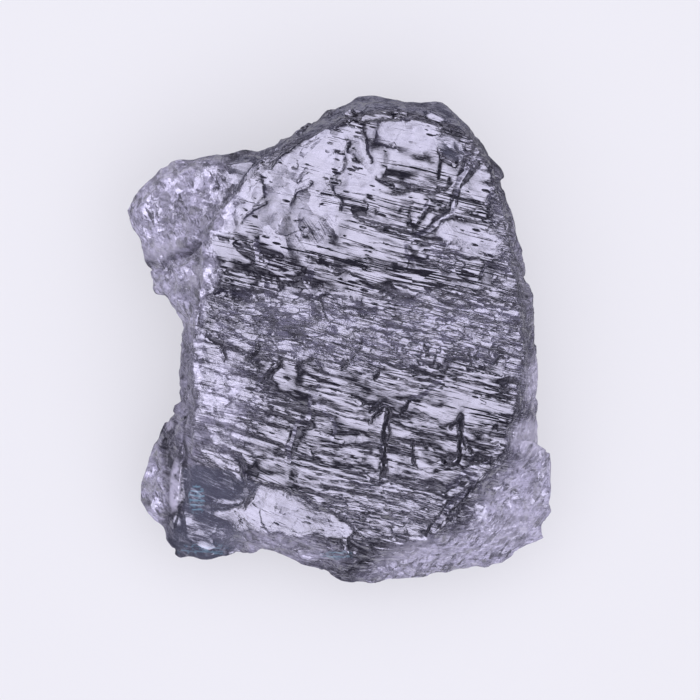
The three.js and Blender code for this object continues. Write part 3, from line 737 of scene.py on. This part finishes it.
def cells(at, scale, output="Color"):
    made = addNode(nodes, "ShaderNodeTexVoronoi", {"Scale": scale})
    links.new(at, made.inputs["Vector"])
    return made.outputs[output]


def scaled(at, scale):
    made = addNode(nodes, "ShaderNodeMapping", {"Scale": scale})
    links.new(at, made.inputs["Vector"])
    return made.outputs["Vector"]


def parted(value, kind="XYZ"):  # the three parts of a vector, or of a colour
    made = addNode(nodes, "ShaderNodeSeparate" + kind)
    links.new(value, made.inputs[0])
    return made.outputs


def blendedNumber(factor, a, b):
    made = addNode(nodes, "ShaderNodeMix")
    fill([made.inputs[name] for name in ("Factor", "A", "B")], (factor, a, b))
    return made.outputs["Result"]


def pushed(normal, way, amount):
    return vector("ADD", normal, vector("SCALE", way, scale=amount))


def leaned(normal, other, share):  # from one normal towards another
    kept = vector("SCALE", normal, scale=math("SUBTRACT", 1, share))
    return vector("ADD", kept, vector("SCALE", other, scale=share))


def stretched(length, width, turn, seed):  # turned by that many degrees
    settings = {"Scale": (length, width, 0.5), "Rotation": (0, 0, radians(turn))}
    settings["Location"] = (seed, seed, 0)
    made = addNode(nodes, "ShaderNodeMapping", settings, vector_type="TEXTURE")
    links.new(place, made.inputs["Vector"])
    return made.outputs["Vector"]


def scratches(length, width, turn, seed):  # thin broken lines
    off = math("ABSOLUTE", math("ADD", noise(stretched(length, width, turn, seed), 1.0, 1.0), -0.5))
    return math("MULTIPLY", ranged(off, 0.016, 0.006), ranged(noise(place, 1.4, 1.0), 0.48, 0.56))


def veinMask(name, ragged, narrow):  # 1 inside a vein
    length = addNode(nodes, "ShaderNodeVectorMath", operation="LENGTH")
    links.new(vector("MULTIPLY", reading(name, "Vector"), (1.0, 1.0, 0.0)), length.inputs[0])
    width = math("MULTIPLY", parted(reading(name, "Vector"))["Z"], 0.5 * narrow)
    width = math("MAXIMUM", width, 0.001)
    share = math("DIVIDE", length.outputs["Value"], width)
    edge = math("MULTIPLY_ADD", noise(place, 6.0, 3.0), ragged, -0.5 * ragged)
    return ranged(math("ADD", share, edge), 1.1, 0.8)


def blended(factor, a, b):
    made = addNode(nodes, "ShaderNodeMix", data_type="RGBA")
    fill([made.inputs[name] for name in ("Factor", "A", "B")], (factor, a, b))
    return made.outputs["Result"]


def bumped(height, strength, distance, normal):
    made = addNode(nodes, "ShaderNodeBump", {"Distance": distance * mm})
    sockets = [made.inputs[name] for name in ("Height", "Normal", "Strength")]
    fill(sockets, (height, normal, strength))
    return made.outputs["Normal"]


look = diamondLook
place = scaled(addNode(nodes, "ShaderNodeTexCoord").outputs["Object"], (1000, 1000, 1000))
flowing = reading("flow", "Vector")
frost, torn, calm = reading("frosted"), reading("hackle"), reading("smooth")
clearness, muted = reading("clear"), reading("muted")

# streaks: thin dark cuts between pale treads, in bundles that don't line up
bundle = cells(scaled(flowing, (1 / look["bundleLength"], 1 / look["bundleWidth"], 0.8)), 1.0)
parts = parted(bundle, "Color")
group = parted(cells(scaled(flowing, (0.5, 1.7, 0.8)), 1.0), "Color")
thin = scaled(flowing, (1 / look["streakLength"], 1 / look["streakWidth"], 0.7))
streaks = noise(vector("MULTIPLY_ADD", bundle, (23, 31, 17), thin), 1.0, 3.0, 0.55)
finer = scaled(flowing, (2.6, 38, 1.2))  # the muted parts have finer streaks
finest = noise(vector("MULTIPLY_ADD", bundle, (31, 17, 23), finer), 1.0, 2.5, 0.55)
change = math("SUBTRACT", finest, streaks)
streaks = math("MULTIPLY_ADD", change, ranged(muted, 0, 1, (0, 0.85)), streaks)
opened = math("MULTIPLY", reading("open"), ranged(muted, 0, 1, look["reliefPull"]))
openness = math("ADD", math("MULTIPLY_ADD", streaks, look["contrast"], look["balance"]), opened)
openness = math("SUBTRACT", openness, math("MULTIPLY", torn, 0.15))
starker = ranged(muted, -1, 0, (0.12, 0))
openness = math("ADD", openness, math("MULTIPLY_ADD", ranged(muted, 0, 1), 0.05, starker))
openness = math("MULTIPLY_ADD", calm, 0.1, openness)
groupTone = ranged(group["Red"], 0, 1, look["groupSpread"])
varied = math("ADD", groupTone, ranged(parts["Blue"], 0, 1, look["bundleSpread"]))
openness = math("MULTIPLY_ADD", varied, ranged(muted, 0, 1, (1, 0.35)), openness)

# marks: short dashes, scratches, cracks and pits
dashCells = scaled(flowing, look["dashScale"])
dashSize = math("MULTIPLY", parted(cells(dashCells, 1.0), "Color")["Red"], look["dashSize"])
dashes = math("SUBTRACT", cells(dashCells, 1.0, "Distance"), dashSize)
dashes = math("MULTIPLY", ranged(dashes, 0.02, -0.06), ranged(noise(place, 1.3, 2.0), 0.46, 0.52))
lines = 0.0
for *scratch, strength in look["scratches"]:
    lines = math("MAXIMUM", lines, math("MULTIPLY", scratches(*scratch), strength))
lines = math("MULTIPLY", lines, math("MULTIPLY_ADD", calm, 0.45, 0.1))
cracked = math("MULTIPLY", veinMask("cracks", 1.1, 0.95), ranged(calm, 0, 1, (1, 0.6)))
pitted = math("ADD", reading("pit"), math("MULTIPLY_ADD", noise(place, 6.0, 2.0), 1.2, -0.6))
cracked = math("MAXIMUM", cracked, ranged(pitted, 0.5, 0.6))
marks = math("MAXIMUM", cracked, math("MAXIMUM", dashes, lines))
dark = math("MAXIMUM", ranged(openness, 0.04, -0.04, kind="SMOOTHSTEP"), marks)
dark = math("MULTIPLY", dark, ranged(frost, 0, 1, (1, look["dimming"])))
dark = math("MULTIPLY", dark, ranged(clearness, 0, 1, (1, look["dimming"])))

# short dabs on the frosted lobes, leaning left on the left and right on the right
leftDabs = noise(stretched(*look["leftDabs"]), 1.0, 3.0, 0.65)
rightDabs = noise(stretched(*look["rightDabs"]), 1.0, 3.0, 0.65)
dabs = blendedNumber(ranged(parted(place)["X"], -0.5, 0.5), leftDabs, rightDabs)
dabsHere = ranged(noise(place, 1.6, 2.0), 0.4, 0.56, (0.15, 1))
dabs = math("MULTIPLY", ranged(dabs, 0.47, 0.42), dabsHere)
dark = math("MAXIMUM", dark, math("MULTIPLY", dabs, frost))

# unevenness: soft waves on the treads, panes on the smooth parts, small facets on the frosted ones
half = (0.5, 0.5, 0.5)
waves = vector("SUBTRACT", noise(scaled(place, (1.1, 1.1, 1.1)), 1.0, 4.0, 0.6, "Color"), half)
small = scaled(place, (5.0, 5.0, 5.0))
crumpled = vector("MULTIPLY_ADD", noise(place, 3.0, 3.0, 0.6, "Color"), (1.6, 1.6, 1.6), small)
facetColor = cells(crumpled, 1.0)
facets = vector("SUBTRACT", facetColor, half)
cloud = noise(place, 2.6, 5.0, 0.7)
groove = veinMask("grooves", 1.8, 1.0)
groove = math("MULTIPLY", groove, ranged(noise(place, 2.5, 2.0), 0.36, 0.5))
feather = noise(scaled(flowing, (2.6, 13, 4)), 1.0, 3.0, 0.6)
grain = noise(place, 9.0, 3.0)
mottle = math("MULTIPLY_ADD", feather, 0.5, math("MULTIPLY", cloud, 0.5))

# which way each part leans
normal = addNode(nodes, "ShaderNodeNewGeometry").outputs["Normal"]
steep = ranged(parted(normal)["Z"], 0.8, 0.5)
flat = math("SUBTRACT", 1, steep)
granular = math("MAXIMUM", frost, math("MULTIPLY", steep, 0.5))
pull = math("MULTIPLY", steep, ranged(mottle, 0.6, 0.42, (0.3, 1.7)))
pull = math("ADD", math("MULTIPLY", calm, look["calmPull"]), pull)
pull = math("MULTIPLY", pull, ranged(clearness, 0, 1, (1, 0.7)))
pull = math("MULTIPLY", pull, ranged(dark, 0, 1, (1, 0.2)))
normal = pushed(normal, (0.0, 0.0, 1.0), pull)
treadTilt = ranged(parts["Green"], 0.2, 1, look["treadTilt"])
treadTilt = math("MULTIPLY", treadTilt, ranged(openness, 0.1, 0.8))
treadTilt = math("MULTIPLY", treadTilt, ranged(muted, -1, 1, (0.3, 1.7)))
normal = pushed(normal, (-dipS, -dipC, 0.0), math("MULTIPLY", treadTilt, flat))
waveTilt = ranged(frost, 0, 1, (look["waves"], 0.15))
waveTilt = math("MULTIPLY", waveTilt, ranged(muted, -1, 0, (0.5, 1)))
normal = pushed(normal, waves, waveTilt)
swells = vector("SUBTRACT", noise(place, 2.4, 4.0, 0.65, "Color"), half)
normal = pushed(normal, swells, math("MULTIPLY", calm, look["swellTilt"]))
bent = stretched(1.1, 0.6, -58, 4)
bent = vector("MULTIPLY_ADD", noise(place, 1.2, 3.0, 0.6, "Color"), (0.7, 0.7, 0.7), bent)
panes = vector("SUBTRACT", cells(bent, 1.0), half)
normal = pushed(normal, panes, math("MULTIPLY", calm, look["paneTilt"]))
facetTilt = math("MULTIPLY_ADD", granular, look["facetTilt"], math("MULTIPLY", clearness, steep))
normal = pushed(normal, facets, facetTilt)
normal = vector("NORMALIZE", normal)
level = ranged(noise(scaled(flowing, (0.9, 5, 1)), 1.0, 3.0), 0.42, 0.56, (0.3, 0.85))
leveled = pushed((0.0, 0.0, 1.0), vector("ADD", panes, swells), look["sillTilt"])
normal = leaned(normal, leveled, math("MULTIPLY", reading("sill"), level))

# dark parts lean to the front, just enough to mirror the tent's dark ring
tone = noise(scaled(flowing, (1.6, 14, 0.7)), 1.0, 1.0)
least = ranged(muted, 0, 1, (look["darkTilt"][0], look["mutedTilt"][0]))
most = ranged(muted, 0, 1, (look["darkTilt"][1], look["mutedTilt"][1]))
slope = blendedNumber(ranged(tone, 0.35, 0.65), least, most)
slope = math("MAXIMUM", slope, math("MULTIPLY", cracked, look["darkTilt"][1]))
shadowed = vector("NORMALIZE", vector("MULTIPLY_ADD", (-dipS, -dipC, 0.0), slope, (0.0, 0.0, 1.0)))
shade = math("MULTIPLY", math("MAXIMUM", dark, math("MULTIPLY", groove, 0.75)), flat)
clearShade = math("MULTIPLY", clearness, flat)
clearShade = math("MULTIPLY", clearShade, ranged(mottle, 0.46, 0.54, (0.62, 0.95)))
shade = math("MAXIMUM", shade, math("MAXIMUM", clearShade, cracked))
normal = leaned(normal, shadowed, math("MULTIPLY", shade, look["shade"]))
outward = vector("NORMALIZE", vector("MULTIPLY", normal, (1.0, 1.0, 0.0)))
turned = vector("MULTIPLY_ADD", outward, (0.6, 0.6, 0.0), (0.0, 0.0, 1.0))  # the same on the walls
wall = math("MULTIPLY", clearness, ranged(mottle, 0.4, 0.55, (0.3, 1)))
wall = math("MAXIMUM", wall, math("MULTIPLY", dark, 0.8))
normal = leaned(normal, turned, math("MULTIPLY", wall, steep))
featherBump = math("MULTIPLY", ranged(torn, 0, 1, (0.2, 0.7)), ranged(frost, 0, 1, (1, 0.2)))
grainBump = math("MAXIMUM", math("MULTIPLY", granular, 0.7), ranged(torn, 0, 1, (0.08, 0.45)))
normal = bumped(feather, featherBump, look["featherHeight"], normal)
normal = bumped(grain, grainBump, look["grainHeight"], normal)
links.new(normal, shader.inputs["Normal"])

# colour
haze = math("MAXIMUM", torn, math("MULTIPLY", steep, 0.5))
haze = math("MAXIMUM", haze, math("MULTIPLY", calm, 0.5))
tint = blended(math("MULTIPLY", haze, ranged(mottle, 0.42, 0.56)), look["dark"], look["grey"])
speckle = parted(facetColor, "Color")["Red"]
chalk = math("MULTIPLY", ranged(cloud, 0.4, 0.52, (0.35, 1)), ranged(speckle, 0, 1, (0.5, 1)))
chalk = math("MULTIPLY", chalk, ranged(grain, 0.38, 0.5, (0.5, 1)))
tint = blended(math("MULTIPLY", chalk, frost), tint, look["pale"])
tint = blended(math("MULTIPLY", groove, ranged(grain, 0.3, 0.6)), tint, look["vein"])
specks = ranged(cells(crumpled, 0.6, "Distance"), 0.36, 0.24)
specks = math("MULTIPLY", specks, ranged(noise(place, 1.7, 2.0), 0.5, 0.56))
specks = math("MULTIPLY", math("MULTIPLY", specks, frost), 0.8)
# painted shade: the gaps between treads, the cracks and the pits take the near-black colour on top
# of their dark-facing slope; the dashes, scratches and dabs are darkened too
tint = blended(math("MAXIMUM", math("MULTIPLY", dark, 0.85), specks), tint, look["dark"])
glassy = math("MULTIPLY", clearness, ranged(mottle, 0.6, 0.4, (0.5, 1)))
tint = blended(glassy, tint, look["window"])
chalky = ranged(noise(place, 4.0, 3.0), 0.3, 0.5)
tint = blended(math("MULTIPLY", reading("white"), chalky), tint, look["white"])
# painted glints: thin bright teal lines and blotches stand in for light caught inside the clear
# corner
paintedGlintLines = math("SINE", math("MULTIPLY_ADD", noise(place, 1.6, 2.0), 9, scaled(place, (0, 160, 0))))
paintedGlintLines = math("MULTIPLY", ranged(paintedGlintLines, 0.2, 0.9, (0, 1)), ranged(reading("paintedTealGlint"), 0.45, 0.7))
paintedGlintBlotches = ranged(noise(place, 8.0, 3.0), 0.5, 0.62)
paintedGlintBlotches = math("MULTIPLY", paintedGlintBlotches, ranged(reading("paintedTealGlint"), 0.1, 0.4, (0, 0.6)))
tint = blended(math("MAXIMUM", paintedGlintLines, paintedGlintBlotches), tint, look["paintedTealGlint"])
links.new(tint, shader.inputs["Base Color"])
worn = math("MAXIMUM", math("MULTIPLY", frost, 0.55), math("MULTIPLY", torn, 0.45))
links.new(ranged(worn, 0, 1, look["roughness"]), shader.inputs["Roughness"])
stone.data.materials.clear()
stone.data.materials.append(diamond)
print("finish made")

# floor, light, camera
bpy.ops.mesh.primitive_plane_add(size=0.6, location=(0, 0, 0))
floor = bpy.context.active_object
floor.name = "floor"
paperLook = {
    "Base Color": (0.272, 0.28, 0.235, 1),
    "Roughness": 0.9,
    "Emission Color": (0.49, 0.483, 0.528, 1),  # lit from below
    "Emission Strength": 1,
}
paper, nodes, links = newMaterial("floorPaper")
for name, value in paperLook.items():
    nodes["Principled BSDF"].inputs[name].default_value = value
floor.data.materials.append(paper)

studio = {
    "tilt": (-4, -4),  # degrees by which the bright middle of the tent is off the vertical
    "color": (0.955, 0.92, 1.19, 1),
    "radiance": [  # degrees from the middle, then how bright
        (0, 4.0), (12, 3.8), (24, 3.2), (34, 2.2), (42, 0.9), (49, 0.2),
        (55, 0.04), (62, 0.05), (70, 0.3), (80, 0.8), (90, 1.1),
    ],
    "camera": (0.275, -0.225, 206),  # mm
    "lens": 420,
}
world = bpy.data.worlds.new("softTent")
bpy.context.scene.world = world
world.use_nodes = True
nodes, links = world.node_tree.nodes, world.node_tree.links
coords = addNode(nodes, "ShaderNodeTexCoord")
tent = addNode(nodes, "ShaderNodeMapping")
tent.inputs["Rotation"].default_value = (radians(studio["tilt"][0]), radians(studio["tilt"][1]), 0)
links.new(coords.outputs["Generated"], tent.inputs["Vector"])
upness = addNode(nodes, "ShaderNodeSeparateXYZ")
links.new(tent.outputs["Vector"], upness.inputs["Vector"])
ramp = addNode(nodes, "ShaderNodeValToRGB")
stops = ramp.color_ramp.elements
while len(stops) > 1:
    stops.remove(stops[-1])
topRadiance = max(radiance for angle, radiance in studio["radiance"])
for i, (angle, radiance) in enumerate(sorted(studio["radiance"], reverse=True)):
    stop = stops[0] if i == 0 else stops.new(cos(radians(angle)))
    stop.position = cos(radians(angle))
    stop.color = (radiance / topRadiance,) * 3 + (1,)
links.new(upness.outputs["Z"], ramp.inputs["Fac"])
tinted = addNode(nodes, "ShaderNodeMix", data_type="RGBA", blend_type="MULTIPLY")
tinted.inputs["Factor"].default_value = 1
tinted.inputs["B"].default_value = studio["color"]
links.new(ramp.outputs["Color"], tinted.inputs["A"])
links.new(tinted.outputs["Result"], nodes["Background"].inputs["Color"])
nodes["Background"].inputs["Strength"].default_value = topRadiance

bpy.ops.object.camera_add(location=[c * mm for c in studio["camera"]], rotation=(0, 0, 0))
cam = bpy.context.active_object
cam.data.lens = studio["lens"]
cam.data.sensor_width = 36
cam.data.clip_start = 0.001
bpy.context.scene.camera = cam
bpy.context.scene.view_settings.view_transform = "Standard"
print("lights done")
